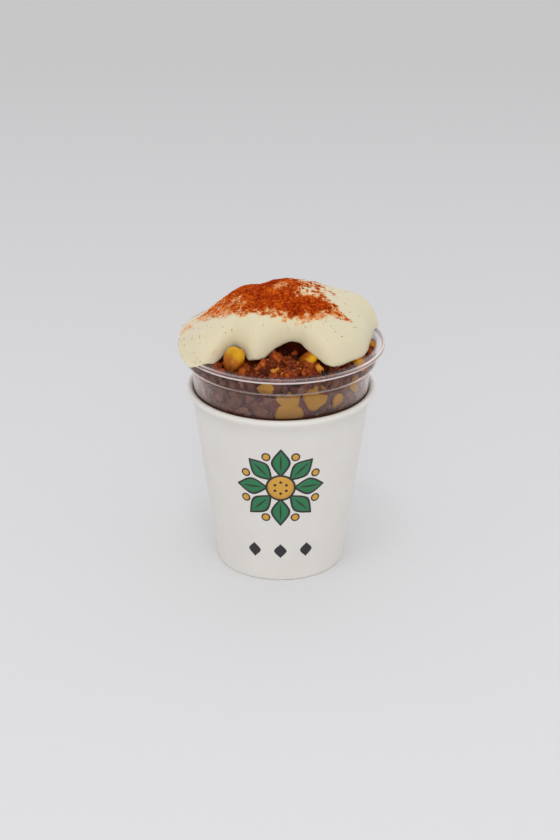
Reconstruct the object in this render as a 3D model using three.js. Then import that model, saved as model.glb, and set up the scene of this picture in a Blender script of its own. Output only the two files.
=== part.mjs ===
// A serving of fried corn: a clear plastic cup of corn kernels fried with crumbled meat, standing in a white
// paper cup, heaped above the rim and topped with a thick pale sauce.
//
// Millimetres, +Z up. The origin is the middle of the ring that the paper cup stands on, and -Y is the front,
// where the sauce leaves some of the corn bare.

import * as THREE from "three";

// ---------------------------------------------------------------- driving dimensions

const SEGMENTS = 60; // facets round every piece

const paper = {
  height: 90.1, // to the top of the rolled rim
  rimRadius: 45.0,
  baseRadius: 30.6,
  wall: 0.5,
  rollWidth: 2.6,
  rollHeight: 3.0,
  rollTuck: 1.0, // the roll's lower edge meets the wall this far below the roll's middle
  recess: 7.6, // the underside of the bottom disc, above the table
  foot: 1.5, // thickness of the folded foot that grips the bottom disc
};

const clear = {
  top: 113.5, // top of the rim above the table
  rimRadius: 49.0,
  rimDrop: 2.8, // height of the curled rim
  curlHeight: 1.4, // of the curl's upper, rounded part
  lip: 0.5, // how far the curl's lower edge turns in
  bandRadius: 45.1, // outside of the upright band under the rim
  ledge: 103.0, // where the band steps in to the tapered wall
  ledgeRise: 0.55, // the ledge slopes from this far below to this far above
  upright: 88.0, // the wall leans less from here up to the ledge
  uprightSlope: 0.055, // how far out it leans there for each millimetre of height
  wall: 0.6,
  clearance: 0.5, // between the tapered wall and the paper cup
  lift: 0.4, // of its bottom above the paper cup's
  chamfer: 1.2, // round the bottom
};

const corn = {
  gap: 0.3, // to the inside of the clear cup
  ledgeClear: [0.1, 1.6], // it widens between these heights above the clear cup's ledge
  atWall: 109.6, // height of the heap where it meets the clear cup
  crown: 121.0, // height of the heap in the middle
  lump: 0.9, // how far kernels and crumbs stand proud of the heap
  lumpPitch: 11.0, // distance from one lump to the next
  rings: 10,
};

const sauce = {
  gap: 0.4, // to the corn and to the clear cup's rim
  shoulder: 116.5, // height that the dome falls to over the rim
  crown: 138.4, // height of the dome in the middle
  span: 50.0, // radius at which the dome reaches the shoulder
  sag: 2.2, // how far it hangs down where it runs out over the rim
  rimStep: 2.5, // it climbs from the corn to the rim over this width, just inside the clear cup
  bulge: 1.8, // how far the rounded edge hangs out past where it touches
  edge: 8.5, // width over which the edge rises to its full thickness
  brow: 0.42, // share of the thickness that stands upright at the very edge
  centre: [0, 8], // its rings close in on this point
  columns: 76,
  rings: 8,
};

// Plan of the sauce's edge as [x, y]. It hangs over the clear cup's rim on the left and at the back, runs down
// in two tongues at the front with a bay of bare corn between them, and leaves a thin strip of corn on the right.
const sauceOutline = [
  [-48.6, -3], [-48.6, -11], [-47.4, -19], [-44.2, -27], [-38.8, -32], [-32.5, -31],
  [-26.5, -26.5], [-21.5, -22], [-18, -27], [-15, -32.6], [-11.5, -34], [-7.5, -32.2],
  [-2, -27], [3.5, -23], [7.5, -22.6], [11, -27], [16, -31.6], [21, -34.8],
  [26, -34], [30.5, -29.5], [34.5, -25], [39, -20], [42.2, -12], [43.0, -3],
  [43.2, 5], [45.4, 8.5], [46.9, 13], [45.0, 21], [39.0, 29], [30, 36.5],
  [16, 44], [0, 46.4], [-15, 44.6], [-29, 37], [-40, 26.5], [-46.6, 13], [-48.5, 4],
];

// Dollops that raise the sauce above its dome, or hollows that lower it: [x, y, height, spread].
const dollops = [
  [38, 17, 5.6, 12], // the big fold at the back on the right
  [17, 23, 1.4, 9],
  [4, 10, 2.4, 8], // the peak
  [-15, 17, 2.0, 7],
  [-36, 16, -2.2, 9],
  [-42, -2, -1.4, 9],
  [4, -20, -2.5, 11],
  [-6, 36, 1.4, 9],
];

// ---------------------------------------------------------------- shape helpers

const { degToRad: radians, lerp: mix, clamp, smoothstep } = THREE.MathUtils;

/** Turns an outline of [radius, height] pairs about +Z. */
function turned(outline) {
  const points = outline.map(([r, z]) => new THREE.Vector2(Math.max(r, 0), z));
  return new THREE.LatheGeometry(points, SEGMENTS).rotateX(Math.PI / 2);
}

/** An elliptical arc of [radius, height] pairs from one angle to another, in degrees. */
function arc(r, z, halfWidth, halfHeight, from, to, steps) {
  return Array.from({ length: steps + 1 }, (_, i) => {
    const a = radians(from + ((to - from) * i) / steps);
    return [r + halfWidth * Math.cos(a), z + halfHeight * Math.sin(a)];
  });
}

/** The outline of a sheet of one thickness that follows a line from the axis out to its free edge and back. */
function sheetAlong(line, thickness) {
  const side = (sign) =>
    line.map(([r, z], i) => {
      const [r0, z0] = line[Math.max(i - 1, 0)];
      const [r1, z1] = line[Math.min(i + 1, line.length - 1)];
      const length = Math.hypot(r1 - r0, z1 - z0);
      const shift = (sign * thickness) / 2 / length;
      return [r - (z1 - z0) * shift, z + (r1 - r0) * shift];
    });
  const [inside, outside] = [side(1), side(-1)];
  inside[0][0] = outside[0][0] = 0;
  return [...outside, ...inside.reverse()];
}

/** A closed surface of rings, each with one point for every column, capped by a point at either end. */
function ringed(rings, first, last) {
  const columns = rings[0].length;
  const positions = [first, ...rings.flat(), last].flat();
  const at = (ring, column) => 1 + ring * columns + (column % columns);
  const end = rings.length * columns + 1;
  const index = [];
  for (let c = 0; c < columns; c++) {
    index.push(0, at(0, c + 1), at(0, c));
    index.push(end, at(rings.length - 1, c), at(rings.length - 1, c + 1));
    for (let k = 0; k + 1 < rings.length; k++) {
      index.push(at(k, c), at(k, c + 1), at(k + 1, c));
      index.push(at(k, c + 1), at(k + 1, c + 1), at(k + 1, c));
    }
  }
  const geometry = new THREE.BufferGeometry();
  geometry.setAttribute("position", new THREE.Float32BufferAttribute(positions, 3));
  geometry.setIndex(index);
  geometry.computeVertexNormals();
  return geometry;
}

/** One ring of points, the radius and height of each given by its angle from the front towards +X. */
function ring(radiusAt, heightAt) {
  return Array.from({ length: SEGMENTS }, (_, i) => {
    const angle = (i / SEGMENTS) * 2 * Math.PI;
    const r = radiusAt(angle);
    const [x, y] = [r * Math.sin(angle), -r * Math.cos(angle)];
    return [x, y, heightAt(x, y, angle)];
  });
}

// ---------------------------------------------------------------- paper cup

const paperMouth = paper.rimRadius - paper.rollWidth;
const paperSlope = (paperMouth - paper.baseRadius + paper.wall) / paper.height;
const paperOutside = (z) => paper.baseRadius + z * paperSlope;
const paperInside = (z) => paperOutside(z) - paper.wall;

/** Tapered wall with a rolled rim, and a bottom disc set up inside a folded foot. */
function paperCup() {
  const rollZ = paper.height - paper.rollHeight / 2;
  const rollR = paper.rimRadius - paper.rollWidth / 2;
  const tuckZ = rollZ - paper.rollTuck;
  const discTop = paper.recess + paper.wall;
  return turned([
    [0, paper.recess],
    [paperOutside(paper.recess) - paper.foot, paper.recess],
    [paper.baseRadius - paper.foot, 0],
    [paper.baseRadius, 0],
    [paperOutside(tuckZ), tuckZ],
    ...arc(rollR, rollZ, paper.rollWidth / 2, paper.rollHeight / 2, -105, 180, 11),
    [paperInside(discTop), discTop],
    [0, discTop],
  ]);
}

// ---------------------------------------------------------------- clear cup

const clearBottom = paper.recess + paper.wall + clear.lift;
const clearOutside = (z) => {
  const leaning = Math.min(z, clear.upright);
  return paperInside(leaning) - clear.clearance + (z - leaning) * clear.uprightSlope;
};
const bandInside = clear.bandRadius - clear.wall;
const clearInside = (z) => (z > clear.ledge ? bandInside : clearOutside(z) - clear.wall);

/** Tapered wall, more upright near its top, then a ledge, an upright band and a rim that curls out and down. */
function clearCup() {
  const half = clear.wall / 2;
  const floor = clearBottom + half;
  const wallAt = (z) => clearOutside(z) - half;
  const curlWidth = (clear.rimRadius - clear.bandRadius) / 2;
  const curlR = clear.bandRadius - half + curlWidth;
  const curlZ = clear.top - half - clear.curlHeight;
  const edge = clear.rimRadius - half;
  return turned(
    sheetAlong(
      [
        [0, floor],
        [wallAt(floor) - clear.chamfer, floor],
        [wallAt(floor), floor + clear.chamfer],
        [wallAt(clear.upright), clear.upright],
        [wallAt(clear.ledge), clear.ledge - clear.ledgeRise],
        [clear.bandRadius - half, clear.ledge + clear.ledgeRise],
        ...arc(curlR, curlZ, curlWidth, clear.curlHeight, 180, 0, 8),
        [edge, clear.top - clear.rimDrop + half],
        [edge - clear.lip, clear.top - clear.rimDrop],
      ],
      clear.wall,
    ),
  );
}

// ---------------------------------------------------------------- corn heap

const wave = (v, pitch, shift) => Math.sin((2 * Math.PI * v) / pitch + shift);

/** Height of the low dome that the heap of corn makes. */
function cornDome(x, y) {
  const r = Math.hypot(x, y) / bandInside;
  return mix(corn.atWall, corn.crown, 1 - Math.min(r, 1) ** 2);
}

/** Height of the heap's surface: the dome with lumps from two crossed waves and a finer third one. */
function cornTop(x, y) {
  const pitch = corn.lumpPitch;
  const lumps = wave(x + 0.4 * y, pitch, 0.7) * wave(y - 0.3 * x, pitch, 1.9);
  const fine = 0.5 * wave(x - y, pitch * 0.62, 2.6);
  return cornDome(x, y) + corn.lump * (lumps + fine);
}

/** The corn fills the clear cup to its wall, and stands above the rim in the middle. */
function cornHeap() {
  const inset = corn.gap;
  const floor = clearBottom + clear.wall + inset;
  const flat = (z) => () => z;
  const wallRing = (z) => ring(() => clearInside(z) - inset, flat(z));
  const edge = bandInside - inset;
  const [widens, widened] = corn.ledgeClear.map((rise) => clear.ledge + rise);
  const rings = [
    ring(() => clearInside(floor) - inset - clear.chamfer, flat(floor)),
    wallRing(floor + clear.chamfer),
    wallRing(clear.upright),
    ring(() => clearInside(clear.ledge) - inset, flat(widens)),
    wallRing(widened),
  ];
  for (let k = corn.rings; k > 0; k--) {
    rings.push(ring(() => (edge * k) / corn.rings, cornTop));
  }
  return ringed(rings, [0, 0, floor], [0, 0, cornTop(0, 0)]);
}

// ---------------------------------------------------------------- sauce

const outlineCurve = new THREE.CatmullRomCurve3(
  sauceOutline.map(([x, y]) => new THREE.Vector3(x, y, 0)),
  true,
  "centripetal",
);
const outline = outlineCurve.getSpacedPoints(sauce.columns).slice(0, -1);
const fineOutline = outlineCurve.getPoints(400);

/** How far a point of the plan lies inside the sauce's edge. */
const edgeDistance = (x, y) => Math.min(...fineOutline.map((p) => Math.hypot(p.x - x, p.y - y)));

/** Height that the sauce rests at: on the corn, on the rim, and hanging down where it runs out past the rim. */
function restHeight(x, y) {
  const r = Math.hypot(x, y);
  const onRim = smoothstep(r, bandInside - sauce.rimStep, bandInside);
  const overhang = smoothstep(r, clear.rimRadius - 1, clear.rimRadius + 2);
  return mix(cornDome(x, y) + corn.lump, clear.top, onRim) + sauce.gap - sauce.sag * overhang;
}

/** Height of the sauce's underside, which bridges the hollows between the lumps of corn. */
function sauceUnder(x, y) {
  const nearby = [-3.6, -1.8, 0, 1.8, 3.6];
  const around = nearby.flatMap((dx) => nearby.map((dy) => cornTop(x + dx, y + dy)));
  const overRim = Math.hypot(x, y) > bandInside - sauce.rimStep;
  return Math.max(...around, overRim ? clear.top : 0) + sauce.gap;
}

/** Height of the sauce well away from its edge: a dome with folds and dollops. */
function sauceDome(x, y) {
  const r = Math.hypot(x, y) / sauce.span;
  const dome = mix(sauce.shoulder, sauce.crown, 1 - r ** 2);
  return dollops.reduce((z, [dx, dy, height, spread]) => {
    const d = Math.hypot(x - dx, y - dy) / spread;
    return z + height * Math.exp(-d * d);
  }, dome);
}

/** Height of the sauce's upper side, as a share of its thickness that falls off towards the edge. */
function sauceTop(x, y) {
  const depth = clamp((edgeDistance(x, y) + 0.5) / sauce.edge, 0, 1);
  const share = mix(sauce.brow, 1, Math.sqrt(1 - (1 - depth) ** 2));
  return mix(restHeight(x, y), sauceDome(x, y), share);
}

/** A thick blanket over the corn, with a rounded edge that hangs out a little past where it touches. */
function sauceBlanket() {
  const [cx, cy] = sauce.centre;
  const underScales = [0.25, 0.5, 0.75, 1];
  const spacing = 1.45; // above 1, the upper rings crowd towards the edge, where the surface turns most
  const outward = outline.map((_, i) => {
    const before = outline.at(i - 1);
    const after = outline[(i + 1) % outline.length];
    return new THREE.Vector2(after.y - before.y, before.x - after.x).normalize();
  });
  // Points of the plan, set back from the outline and then shrunk towards the centre.
  const planRing = (back, scale, height) =>
    outline.map((p, i) => {
      const x = mix(cx, p.x - outward[i].x * back, scale);
      const y = mix(cy, p.y - outward[i].y * back, scale);
      return [x, y, height(x, y)];
    });
  // Set back, and share of the thickness, at three rings round the edge.
  const edgeRings = [[0.5, 0.1], [0, 0.26], [0.35, 0.44]].map(([back, share]) =>
    planRing(back, 1, (x, y) => mix(restHeight(x, y), sauceDome(x, y), share)),
  );
  const rings = [...underScales.map((scale) => planRing(sauce.bulge, scale, sauceUnder)), ...edgeRings];
  for (let k = 1; k <= sauce.rings; k++) {
    rings.push(planRing(1, 1 - (k / (sauce.rings + 1)) ** spacing, sauceTop));
  }
  return ringed(rings, [cx, cy, sauceUnder(cx, cy)], [cx, cy, sauceTop(cx, cy)]);
}

// ---------------------------------------------------------------- assembly

function piece(name, geometry, color, roughness, opacity = 1) {
  const finish = { color, roughness, metalness: 0, opacity, transparent: opacity < 1 };
  const mesh = new THREE.Mesh(geometry, new THREE.MeshStandardMaterial(finish));
  mesh.name = name;
  return mesh;
}

const serving = new THREE.Group();
serving.add(
  piece("paper_cup", paperCup(), 0xf1f0ec, 0.6),
  piece("clear_cup", clearCup(), 0xe9ecf2, 0.08, 0.3),
  piece("corn_heap", cornHeap(), 0x9a5a2a, 0.6),
  piece("sauce", sauceBlanket(), 0xe6dfbf, 0.35),
);

export default serving;
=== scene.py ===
"""A cup of fried corn with sauce: the looks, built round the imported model."""

import math

import bmesh
import bpy
import numpy as np
from mathutils import Matrix, Vector, noise
from mathutils.bvhtree import BVHTree


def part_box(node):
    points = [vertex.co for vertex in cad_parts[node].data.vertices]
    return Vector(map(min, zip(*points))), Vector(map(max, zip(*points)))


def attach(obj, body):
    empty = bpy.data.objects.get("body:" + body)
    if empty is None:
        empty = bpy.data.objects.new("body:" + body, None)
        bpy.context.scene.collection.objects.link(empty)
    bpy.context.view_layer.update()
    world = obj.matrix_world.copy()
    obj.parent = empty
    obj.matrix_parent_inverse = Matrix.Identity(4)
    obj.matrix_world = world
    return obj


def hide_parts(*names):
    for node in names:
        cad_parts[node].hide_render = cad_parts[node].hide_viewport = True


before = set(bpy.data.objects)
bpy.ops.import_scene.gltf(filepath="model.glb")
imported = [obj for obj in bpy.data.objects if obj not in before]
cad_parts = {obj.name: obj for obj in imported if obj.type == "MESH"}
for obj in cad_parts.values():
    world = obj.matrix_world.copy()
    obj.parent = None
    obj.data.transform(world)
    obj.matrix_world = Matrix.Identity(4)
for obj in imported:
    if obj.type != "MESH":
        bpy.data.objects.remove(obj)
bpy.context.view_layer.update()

MM = 0.001
scene = bpy.context.scene


# ---------------------------------------------------------------- camera
# A long lens a little over a metre away looks down on the front of the cup, so that its upright lines stay
# nearly parallel. It aims at the middle of the serving's height.

CAMERA_DISTANCE = 1100 * MM
CAMERA_ELEVATION = math.radians(24.5)
CAMERA_ROLL = math.radians(0.26)
AIM = Vector((-0.46, 0, 70.8)) * MM
LENS = 98.1  # in mm, on a sensor 36 mm high

camera_data = bpy.data.cameras.new("camera")
camera_data.lens = LENS
camera_data.sensor_width = 36
camera = bpy.data.objects.new("camera", camera_data)
towards_camera = Vector((0, -math.cos(CAMERA_ELEVATION), math.sin(CAMERA_ELEVATION)))
turn = towards_camera.to_track_quat("Z", "Y").to_matrix() @ Matrix.Rotation(CAMERA_ROLL, 3, "Z")
camera.matrix_world = Matrix.Translation(AIM + towards_camera * CAMERA_DISTANCE) @ turn.to_4x4()
scene.collection.objects.link(camera)
scene.camera = camera
scene.view_settings.view_transform = "Standard"


# ---------------------------------------------------------------- studio
# A matt sheet, white where the cup stands and greyer behind it, under an even white sky, with a broad weak
# light from the front. The grey behind the cup is painted shade: a fall-off of the light painted on the
# sheet.
# A small bright lamp high above draws highlights on whatever is glossy. None of it belongs to the object.

FLOOR_RADIUS = 9.0
FLOOR_WHITE = "#E3E3E4"
FLOOR_PAINTED_SHADE = "#D3D3D3"
FLOOR_SHADE_FADE = (-0.03, 0.85)  # distances behind the cup, in metres, between which painted shade turns the sheet grey
SKY_COLOUR = "#F1F0F2"
SKY_STRENGTH = 0.95
MERGE_DISTANCE = 0.001 * MM  # points of a mesh that lie closer become one
COLOUR_MIX = {"data_type": "RGBA"}  # makes a Mix node mix colours
LIGHTS = {  # diameter in metres, power in watts, place
    "lamp": (0.22, 1.0, Vector((-0.1, -0.4, 1.35))),
    "front_fill": (1.2, 5.0, Vector((0, -1.6, 0.9))),
}


def colour(hex_code):
    """A linear colour with full alpha from an sRGB hex code."""
    parts = [int(hex_code[i : i + 2], 16) / 255 for i in (1, 3, 5)]
    return [c / 12.92 if c <= 0.04045 else ((c + 0.055) / 1.055) ** 2.4 for c in parts] + [1.0]


def add_node(tree, kind, settings=(), **inputs):
    """Adds a shader node. Settings are its own properties, and inputs are values or the sockets to link."""
    node = tree.nodes.new("ShaderNode" + kind)
    for name, value in dict(settings).items():
        setattr(node, name, value)
    for name, value in inputs.items():
        key = int(name[1:]) if name[1:].isdigit() else name.replace("_", " ")
        socket = node.inputs[key]
        if isinstance(value, bpy.types.NodeSocket):
            tree.links.new(value, socket)
        elif isinstance(value, str) and value.startswith("#"):
            socket.default_value = colour(value)
        else:
            socket.default_value = value
    return node


def new_material(name):
    """An empty node material, its tree and its output node."""
    material = bpy.data.materials.new(name)
    material.use_nodes = True
    tree = material.node_tree
    tree.nodes.clear()
    return material, tree, tree.nodes.new("ShaderNodeOutputMaterial")


def make_object(name, bm, materials):
    """A smooth object of that bmesh, at the origin, with its normals pointing out."""
    bmesh.ops.remove_doubles(bm, verts=bm.verts, dist=MERGE_DISTANCE)
    bmesh.ops.recalc_face_normals(bm, faces=bm.faces)
    mesh = bpy.data.meshes.new(name)
    bm.to_mesh(mesh)
    bm.free()
    mesh.polygons.foreach_set("use_smooth", [True] * len(mesh.polygons))
    for material in materials:
        mesh.materials.append(material)
    obj = bpy.data.objects.new(name, mesh)
    scene.collection.objects.link(obj)
    return obj


# Matt paper: no highlight, a soft shadow under the cup, and painted shade that greys it further back.
sheet, tree, out = new_material("matt_studio_sheet")
place = add_node(tree, "SeparateXYZ", _0=add_node(tree, "TexCoord").outputs["Object"])
fade = add_node(tree, "MapRange", Value=place.outputs["Y"], From_Min=FLOOR_SHADE_FADE[0], From_Max=FLOOR_SHADE_FADE[1])
shade = add_node(tree, "Mix", COLOUR_MIX, _0=fade.outputs[0], _6=FLOOR_WHITE, _7=FLOOR_PAINTED_SHADE)
shader = add_node(tree, "BsdfPrincipled", Base_Color=shade.outputs[2], Roughness=0.9, Specular_IOR_Level=0.1)
tree.links.new(shader.outputs[0], out.inputs[0])
bm = bmesh.new()
bmesh.ops.create_circle(bm, cap_ends=True, radius=FLOOR_RADIUS, segments=64)
floor = make_object("floor", bm, [sheet])

world = bpy.data.worlds.new("sky")
world.use_nodes = True
world.node_tree.nodes["Background"].inputs["Color"].default_value = colour(SKY_COLOUR)
world.node_tree.nodes["Background"].inputs["Strength"].default_value = SKY_STRENGTH
scene.world = world

for name, (size, power, place) in LIGHTS.items():
    light = bpy.data.lights.new(name, "AREA")
    light.shape = "DISK"
    light.size = size
    light.energy = power
    lamp = bpy.data.objects.new(name, light)
    lamp.matrix_world = Matrix.Translation(place) @ (place - AIM).to_track_quat("Z", "Y").to_matrix().to_4x4()
    scene.collection.objects.link(lamp)


# ---------------------------------------------------------------- paper cup
# White paperboard with a thin plastic coat: a tapered wall whose overlap is a flat seam down the back, a rim
# rolled outwards, and a bottom disc held up inside a folded foot. It holds the clear cup.

PAPER_WHITE = "#E8E6E0"
PAPER_SHADE = "#E1DDD5"
PAPER_WALL = 0.5 * MM
PAPER_BASE_RADIUS = 30.6 * MM
PAPER_RECESS = 7.6 * MM
PAPER_FOOT = 1.5 * MM
ROLL_WIDTH = 2.6 * MM
ROLL_HEIGHT = 3.0 * MM
ROLL_TUCK = 4.0 * MM  # how far below the roll its edge is pressed back on to the wall
MOUTH_NARROWING = 0.45 * MM  # the roll's inner side all but touches the clear cup
SEAM_WIDTH = 7.0 * MM
SEAM_RISE = 0.35 * MM  # on the wall, and half as much on the roll
FIBRE_SIZE = 1.6 * MM  # coarser than the real fibres, so that they show
TURNS = 160  # facets round each turned piece

paper_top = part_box("paper_cup")[1].z
paper_rim_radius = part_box("paper_cup")[1].x
paper_slope = (paper_rim_radius - ROLL_WIDTH - PAPER_BASE_RADIUS + PAPER_WALL) / paper_top


def paper_outside(z):
    """Outer radius of the paper wall at a height."""
    return PAPER_BASE_RADIUS + z * paper_slope


def paper_inside(z):
    """Its inner radius."""
    return paper_outside(z) - PAPER_WALL


def arc(centre, radii, start, end, steps):
    """Points [radius, height] on an elliptical arc, with angles in degrees."""
    angles = [math.radians(start + (end - start) * i / steps) for i in range(steps + 1)]
    return [(centre[0] + radii[0] * math.cos(a), centre[1] + radii[1] * math.sin(a)) for a in angles]


def between(a, b, steps):
    """Points from a up to but not including b."""
    return [tuple(Vector(a).lerp(Vector(b), i / steps)) for i in range(steps)]


def turned(outline, steps=TURNS):
    """A bmesh of an outline of [radius, height] points spun once round the upright axis."""
    bm = bmesh.new()
    verts = [bm.verts.new((0, r, z)) for r, z in outline]
    edges = [bm.edges.new(pair) for pair in zip(verts, verts[1:])]
    bmesh.ops.spin(
        bm, geom=verts + edges, cent=(0, 0, 0), axis=(0, 0, 1), angle=math.tau, steps=steps, use_merge=True
    )
    bmesh.ops.remove_doubles(bm, verts=bm.verts, dist=MERGE_DISTANCE)
    return bm


# Coated paperboard: a soft satin white, faintly mottled and fibrous, that lets light in a little.
paperboard, tree, out = new_material("coated_paperboard")
place = add_node(tree, "TexCoord").outputs["Object"]
mottle = add_node(tree, "TexNoise", Vector=place, Scale=0.06 / MM, Detail=3.0)
fibres = add_node(tree, "TexNoise", Vector=place, Scale=1 / FIBRE_SIZE, Detail=4.0)
shade = add_node(tree, "Mix", COLOUR_MIX, _0=mottle.outputs["Fac"], _6=PAPER_WHITE, _7=PAPER_SHADE)
bump = add_node(tree, "Bump", Strength=0.08, Distance=0.1 * MM, Height=fibres.outputs["Fac"])
shader = add_node(
    tree,
    "BsdfPrincipled",
    Base_Color=shade.outputs[2],
    Roughness=0.5,
    IOR=1.5,
    Subsurface_Weight=0.4,
    Subsurface_Radius=(1, 1, 1),
    Subsurface_Scale=1.0 * MM,
    Normal=bump.outputs[0],
)
tree.links.new(shader.outputs[0], out.inputs[0])

roll_z = paper_top - ROLL_HEIGHT / 2
roll_r = paper_rim_radius - ROLL_WIDTH / 2
tuck_z = roll_z - ROLL_TUCK
mouth = paper_inside(roll_z) - MOUTH_NARROWING
disc_top = PAPER_RECESS + PAPER_WALL
outline = [(0, PAPER_RECESS), (paper_outside(PAPER_RECESS) - PAPER_FOOT, PAPER_RECESS)]
outline += arc((PAPER_BASE_RADIUS - PAPER_FOOT / 2, PAPER_FOOT / 2), (PAPER_FOOT / 2,) * 2, 180, 360, 8)
outline += between((paper_outside(2 * MM), 2 * MM), (paper_outside(tuck_z), tuck_z), 12)
roll_start = (roll_r + 0.35 * ROLL_WIDTH, roll_z - 0.45 * ROLL_HEIGHT)
outline += between((paper_outside(tuck_z), tuck_z), roll_start, 3)
outline += arc((roll_r, roll_z), (ROLL_WIDTH / 2, ROLL_HEIGHT / 2), -40, 90, 14)
outline += arc((roll_r, roll_z), (roll_r - mouth, ROLL_HEIGHT / 2), 90, 180, 10)[1:]
outline += between((paper_inside(roll_z - 2 * MM), roll_z - 2 * MM), (paper_inside(disc_top), disc_top), 10)
outline += [(paper_inside(disc_top), disc_top), (0, disc_top)]
bm = turned(outline)
# The overlap at the back: one sharp edge, fading to nothing round the other way.
for v in bm.verts:
    radius = math.hypot(v.co.x, v.co.y)
    along = math.atan2(-v.co.x, v.co.y) * radius + SEAM_WIDTH / 2
    outer = radius > paper_inside(v.co.z) + 0.3 * PAPER_WALL
    if outer and v.co.z < paper_top and 0 < along < SEAM_WIDTH:
        lift = SEAM_RISE * (1 - along / SEAM_WIDTH)
        v.co += Vector((v.co.x, v.co.y, 0)).normalized() * lift * (1 if v.co.z < tuck_z else 0.5)
paper_cup = make_object("paper_cup_board", bm, [paperboard])
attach(paper_cup, "root")
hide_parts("paper_cup")


# ---------------------------------------------------------------- printed ornament
# A plain rosette printed on the front of the cup in flat inks: green leaves and yellow dots round a yellow
# disc, edged in near-black, over a row of three small lozenges. Each ink is a film a few hundredths of a
# millimetre thick.

INK_GREEN = "#22794A"
INK_YELLOW = "#D9A23A"
INK_DARK = "#2B2429"
INK_LIFT = 0.03 * MM  # each ink's film above the one below
ROSETTE_HEIGHT = 53 * MM
ROW_HEIGHT = 17 * MM
LEAVES = 8
LEAF_SIZE = (3.7 * MM, 6.4 * MM)  # half width and half length
LEAF_REACH = 13.6 * MM  # from the rosette's middle to a leaf's middle
DISC_RADIUS = 6.2 * MM
DOT_RADIUS = 1.5 * MM
DOT_REACH = 18.2 * MM
LOZENGE = (3.0 * MM, 4.0 * MM)
LOZENGE_PITCH = 12.5 * MM
LINE = 1.0 * MM  # width of the dark edging
LEAF_POINT = 0.75  # how far a leaf's ends are drawn to points
LOZENGE_POINT = 0.9
VEIN = (0.4 * MM, 4.4 * MM)
SEED_RADIUS = 0.7 * MM


def arrays_of(bm):
    """The vertices and faces of a bmesh, which is then let go."""
    verts = np.array([v.co for v in bm.verts])
    faces = [[v.index for v in f.verts] for f in bm.faces]
    bm.free()
    return verts, faces


def object_of(name, points, polygons, material, smooth=True, **values):
    """An object of many joined shapes, with values kept at its vertices."""
    mesh = bpy.data.meshes.new(name)
    mesh.from_pydata(points, [], polygons)
    for key, numbers in values.items():
        attribute = mesh.attributes.new(key, "FLOAT", "POINT")
        attribute.data.foreach_set("value", numbers.astype(np.float32))
    mesh.polygons.foreach_set("use_smooth", [smooth] * len(mesh.polygons))
    mesh.materials.append(material)
    obj = bpy.data.objects.new(name, mesh)
    scene.collection.objects.link(obj)
    return obj


def flat_disc(segments, cuts):
    """Vertices and faces of a flat disc of radius 1, cut finely enough to be wrapped on the cup."""
    bm = bmesh.new()
    bmesh.ops.create_circle(bm, cap_ends=True, cap_tris=True, radius=1, segments=segments)
    bmesh.ops.subdivide_edges(bm, edges=bm.edges, cuts=cuts, use_grid_fill=True)
    verts, faces = arrays_of(bm)
    return verts[:, :2], faces


def print_film(name, hex_code, layer, shapes):
    """One film of ink: flat colour with a faint grain, hardly glossier than the board. Each shape is a place
    on the unrolled wall, half sizes, a turn and how pointed it is."""
    material, tree, out = new_material(name + "_ink")
    place = add_node(tree, "TexCoord").outputs["Object"]
    grain = add_node(tree, "TexNoise", Vector=place, Scale=0.8 / MM, Detail=3.0)
    darker = [c * 0.9 for c in colour(hex_code)[:3]] + [1.0]
    tint = add_node(tree, "Mix", COLOUR_MIX, _0=grain.outputs["Fac"], _6=hex_code, _7=darker)
    shader = add_node(tree, "BsdfPrincipled", Base_Color=tint.outputs[2], Roughness=0.45, IOR=1.5)
    tree.links.new(shader.outputs[0], out.inputs[0])
    disc, faces = flat_disc(28, 2)
    points, polygons = [], []
    for (x, z), size, spin, pointed in shapes:
        flat = disc * size * np.stack([1 - pointed * abs(disc[:, 1]) ** 1.6, np.ones(len(disc))], axis=1)
        flat = flat @ np.array([[math.cos(spin), -math.sin(spin)], [math.sin(spin), math.cos(spin)]])
        height = z + flat[:, 1]
        angle = (x + flat[:, 0]) / paper_outside(z)
        radius = paper_outside(height) + INK_LIFT * layer
        points.append(np.stack([radius * np.sin(angle), -radius * np.cos(angle), height], axis=1))
        polygons += [[len(disc) * (len(points) - 1) + i for i in face] for face in faces]
    film = object_of(name, np.concatenate(points).tolist(), polygons, material)
    thick = film.modifiers.new("film", "SOLIDIFY")
    thick.thickness = INK_LIFT * (layer + 1)
    thick.offset = -1
    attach(film, "root")


def round_middle(reach, count, shift=0.0):
    """Places and turns at equal steps round the rosette's middle."""
    for i in range(count):
        angle = math.tau * (i + shift) / count
        yield (reach * math.sin(angle), ROSETTE_HEIGHT + reach * math.cos(angle)), angle


leaf_edge = (LEAF_SIZE[0] + LINE, LEAF_SIZE[1] + 1.4 * LINE)
dots = [place for place, _ in round_middle(DOT_REACH, LEAVES, 0.5)]
edging = [(place, leaf_edge, spin, LEAF_POINT) for place, spin in round_middle(LEAF_REACH, LEAVES)]
edging += [(place, (DOT_RADIUS + 0.7 * LINE,) * 2, 0, 0) for place in dots]
edging += [((i * LOZENGE_PITCH, ROW_HEIGHT), LOZENGE, 0, LOZENGE_POINT) for i in (-1, 0, 1)]
leaves = [(place, LEAF_SIZE, spin, LEAF_POINT) for place, spin in round_middle(LEAF_REACH, LEAVES)]
yellow = [((0, ROSETTE_HEIGHT), (DISC_RADIUS,) * 2, 0, 0)]
yellow += [(place, (DOT_RADIUS,) * 2, 0, 0) for place in dots]
veins = [(place, VEIN, spin, 0.5) for place, spin in round_middle(LEAF_REACH, LEAVES)]
veins += [(place, (SEED_RADIUS,) * 2, 0, 0) for place, _ in round_middle(DISC_RADIUS / 2, 6)]
print_film("print_edging", INK_DARK, 1, edging)
print_film("print_leaves", INK_GREEN, 2, leaves)
print_film("print_ring", INK_DARK, 3, [((0, ROSETTE_HEIGHT), (DISC_RADIUS + LINE,) * 2, 0, 0)])
print_film("print_disc", INK_YELLOW, 4, yellow)
print_film("print_veins", INK_DARK, 5, veins)


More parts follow.
